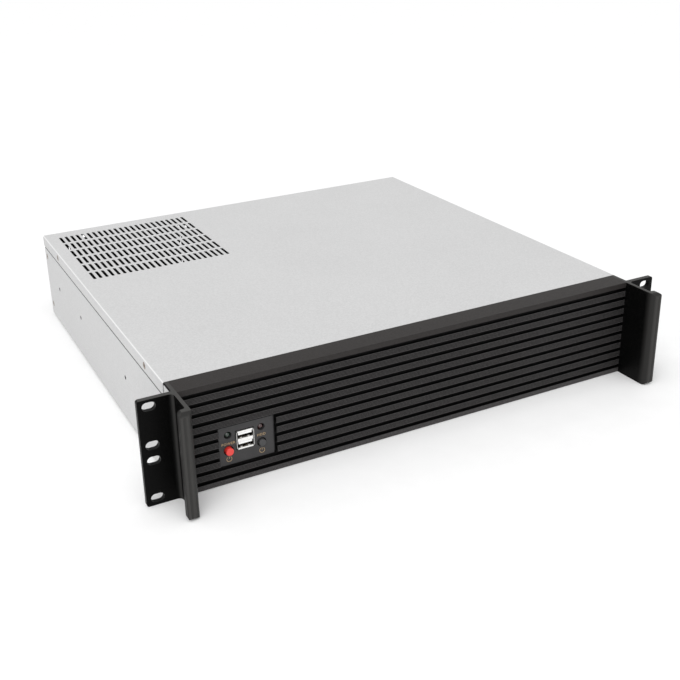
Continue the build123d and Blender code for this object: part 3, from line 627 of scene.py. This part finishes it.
# Sprung tongues pressed out of the shell, two to a port, which hold a plug
SPRING_PLACES = (-0.0031, 0.0031)
SPRING_FOOT = 0.001
SPRING_CROWN = 0.0008
SPRING_LIFT = 0.00002
SPRING_HEIGHT = 0.0004
SPRING_START = 0.0012
SPRING_END = 0.0042


def springs(work):
    for side in both_ways:
        z_floor = shell_middle[2] + side * PORT_PITCH / 2 - PORT_FLOOR
        low, high = z_floor + SPRING_LIFT, z_floor + SPRING_HEIGHT
        for place in SPRING_PLACES:
            x = shell_middle[0] + place
            outline = [
                (x - SPRING_FOOT, low), (x + SPRING_FOOT, low),
                (x + SPRING_CROWN, high), (x - SPRING_CROWN, high),
            ]
            prism(work, outline, SHELL_FACE + SPRING_START, SHELL_FACE + SPRING_END)


piece("usb_springs", springs, shell_metal)

# Thin black plates on the shell's front, a painted shadow for the gaps where the shell's two sides are folded
# beside its front flanges, and for its open corners
FOLD_INSET = 0.00095
FOLD_GAP = 0.00065
CORNER_GAP = 0.0009
FOLD_FRONT = SHELL_FACE - 0.00003
FOLD_BACK = SHELL_FACE + 0.00002


def fold_shadows(work):
    half_width = (shell_box[1][0] - shell_box[0][0]) / 2
    half_height = (shell_box[1][2] - shell_box[0][2]) / 2
    low = shell_middle[2] - half_height + CORNER_GAP
    high = shell_middle[2] + half_height - CORNER_GAP
    for side in both_ways:
        inner = shell_middle[0] + side * (half_width - FOLD_INSET)
        prism(work, rectangle(inner, inner + side * FOLD_GAP, low, high), FOLD_FRONT, FOLD_BACK)
        edge = shell_middle[0] + side * half_width
        for end in both_ways:
            corner = shell_middle[2] + end * half_height
            gap = rectangle(inner, edge, corner, corner - end * CORNER_GAP)
            prism(work, gap, FOLD_FRONT, FOLD_BACK)


piece("usb_fold_shadows", fold_shadows, black_plastic)

# Print on the control plate: a broken ring with a bar under each button, and a word above it. The ring's
# angles are in degrees, and CAP_SHARE is the height of a capital in the font's size
MARK_FRONT = plate_face - 0.00004
MARK_BACK = plate_face + 0.00002
MARK_DROP = 0.0074
MARK_RADIUS = 0.0023
MARK_STROKE = 0.00034
MARK_TOP = 90
MARK_GAP = 32
MARK_STEPS = 32
BAR_FOOT = 0.0003
WORD_HEIGHT = 0.0022
CAP_SHARE = 0.73
LETTER_SPACE = 1.16
LETTER_STEPS = 3
LETTER_DEPTH = 0.00002
POWER_WORD_RISE = 0.0058
DRIVE_WORD_RISE = 0.0064


def ring_mark(button_box):
    """What draws a ring that is open at its top, and a bar in the opening."""
    x, _, button_z = middle(button_box)
    z = button_z - MARK_DROP
    half = MARK_STROKE / 2
    inner = MARK_RADIUS - MARK_STROKE
    start, end = MARK_TOP + MARK_GAP, MARK_TOP + 360 - MARK_GAP

    def build(work):
        arc_band(work, (x, z), inner, MARK_RADIUS, start, end, MARK_STEPS, MARK_FRONT, MARK_BACK)
        prism(work, rectangle(x - half, x + half, z + BAR_FOOT, z + MARK_RADIUS), MARK_FRONT, MARK_BACK)

    return build


piece("power_mark", ring_mark(power_box), print_gold)
piece("reset_mark", ring_mark(reset_box), print_gold)


def word(name, text, button_box, rise):
    """A generic word, printed above a button."""
    curve = bpy.data.curves.new(name, "FONT")
    curve.body = text
    curve.size = WORD_HEIGHT / CAP_SHARE
    curve.space_character = LETTER_SPACE
    curve.align_x = "CENTER"
    curve.align_y = "CENTER"
    curve.resolution_u = LETTER_STEPS
    curve.extrude = LETTER_DEPTH
    source = bpy.data.objects.new(name + "_curve", curve)
    mesh = bpy.data.meshes.new_from_object(source)
    bpy.data.objects.remove(source)
    x, _, z = middle(button_box)
    upright = Matrix.Rotation(math.radians(90), 4, "X")
    mesh.transform(Matrix.Translation((x, MARK_FRONT, z + rise)) @ upright)
    mesh.materials.clear()
    mesh.materials.append(print_gold)
    obj = bpy.data.objects.new(name, mesh)
    bpy.context.scene.collection.objects.link(obj)
    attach(obj, "case")


word("power_word", "POWER", power_box, POWER_WORD_RISE)
word("drive_word", "HDD", reset_box, DRIVE_WORD_RISE)


# Floor, light and camera
WHITE = (1.0, 1.0, 1.0, 1.0)
FLOOR_SIZE = 40.0
FLOOR_DROP = 0.0002
PAPER_SCALE = 40.0
PAPER_DARK = (0.93, 0.93, 0.93)
PAPER_LIGHT = (0.95, 0.95, 0.95)
PAPER_ROUGHNESS = 0.9
SKY_LIGHT = 0.62
SUN_DIRECTION = (0.25, 0.35, -1.0)
SUN_STRENGTH = 1.5
SUN_SPREAD = 70
PANEL_PLACE = (-1.25, -1.4, 0.95)
PANEL_SIZE = (1.6, 1.0)
PANEL_POWER = 10.5

# The camera, fitted to the photograph: its place and axes in metres, its optics in the picture's pixels
CAMERA_PLACE = (-0.4036, -0.6283, 0.3795)
CAMERA_RIGHT = (0.8940, -0.4471, -0.0285)
CAMERA_FORWARD = (0.4037, 0.8317, -0.3813)
PICTURE_SIDE = 680
FOCAL_PIXELS = 1006.7
CENTRE_COLUMN = 311.8
CENTRE_ROW = 299.4
SENSOR_WIDTH = 36.0
NEAR_CLIP = 0.01


def floor_material():
    """Matt pale paper with a faint grain."""
    mat, tree, shader, where = new_material("floor_paper")
    stops = [(0.3, PAPER_DARK), (0.7, PAPER_LIGHT)]
    tree.links.new(ramp(tree, noise(tree, where, PAPER_SCALE), stops), shader.inputs["Base Color"])
    shader.inputs["Roughness"].default_value = PAPER_ROUGHNESS
    shader.inputs["Specular IOR Level"].default_value = 0.0
    return mat


case_middle = (cad_bounds[0][1] + cad_bounds[1][1]) / 2
floor_place = (0.0, case_middle, cad_bounds[0][2] - FLOOR_DROP)
bpy.ops.mesh.primitive_plane_add(size=FLOOR_SIZE, location=floor_place)
floor = bpy.context.object
floor.name = "floor"
floor.data.materials.append(floor_material())

# The sky lights the case softly. The camera, and glass and metal, see it at a strength of 1, which is white
world = bpy.data.worlds.new("studio")
bpy.context.scene.world = world
world.use_nodes = True
sky = world.node_tree
background = sky.nodes["Background"]
background.inputs["Color"].default_value = WHITE
background.inputs["Strength"].default_value = SKY_LIGHT
seen = sky.nodes.new("ShaderNodeBackground")
seen.inputs["Color"].default_value = WHITE
seen.inputs["Strength"].default_value = 1.0
rays = sky.nodes.new("ShaderNodeLightPath").outputs
choose = sky.nodes.new("ShaderNodeMixShader")
seen_by = any_of(sky, rays["Is Camera Ray"], rays["Is Transmission Ray"], rays["Is Glossy Ray"])
sky.links.new(seen_by, choose.inputs["Fac"])
sky.links.new(background.outputs["Background"], choose.inputs[1])
sky.links.new(seen.outputs["Background"], choose.inputs[2])
sky.links.new(choose.outputs["Shader"], sky.nodes["World Output"].inputs["Surface"])


def lamp(light, place, direction):
    """Puts a light in place, aimed along a direction."""
    obj = bpy.data.objects.new(light.name, light)
    obj.location = place
    obj.rotation_euler = Vector(direction).to_track_quat("-Z", "Y").to_euler()
    bpy.context.scene.collection.objects.link(obj)


sun = bpy.data.lights.new("sky_sun", "SUN")
sun.energy = SUN_STRENGTH
sun.angle = math.radians(SUN_SPREAD)
lamp(sun, (0.0, 0.0, 0.0), SUN_DIRECTION)

panel = bpy.data.lights.new("front_panel", "AREA")
panel.shape = "RECTANGLE"
panel.size, panel.size_y = PANEL_SIZE
panel.energy = PANEL_POWER
lamp(panel, PANEL_PLACE, -Vector(PANEL_PLACE))

camera_data = bpy.data.cameras.new("camera")
camera = bpy.data.objects.new("camera", camera_data)
bpy.context.scene.collection.objects.link(camera)
forward = Vector(CAMERA_FORWARD).normalized()
right = Vector(CAMERA_RIGHT)
right = (right - forward * right.dot(forward)).normalized()
up = right.cross(forward)
turned = Matrix((right, up, -forward)).transposed()
camera.matrix_world = Matrix.Translation(CAMERA_PLACE) @ turned.to_4x4()
camera_data.sensor_width = SENSOR_WIDTH
camera_data.lens = FOCAL_PIXELS / PICTURE_SIDE * SENSOR_WIDTH
camera_data.shift_x = 0.5 - CENTRE_COLUMN / PICTURE_SIDE
camera_data.shift_y = CENTRE_ROW / PICTURE_SIDE - 0.5
camera_data.clip_start = NEAR_CLIP
bpy.context.scene.camera = camera
bpy.context.scene.view_settings.view_transform = "Standard"
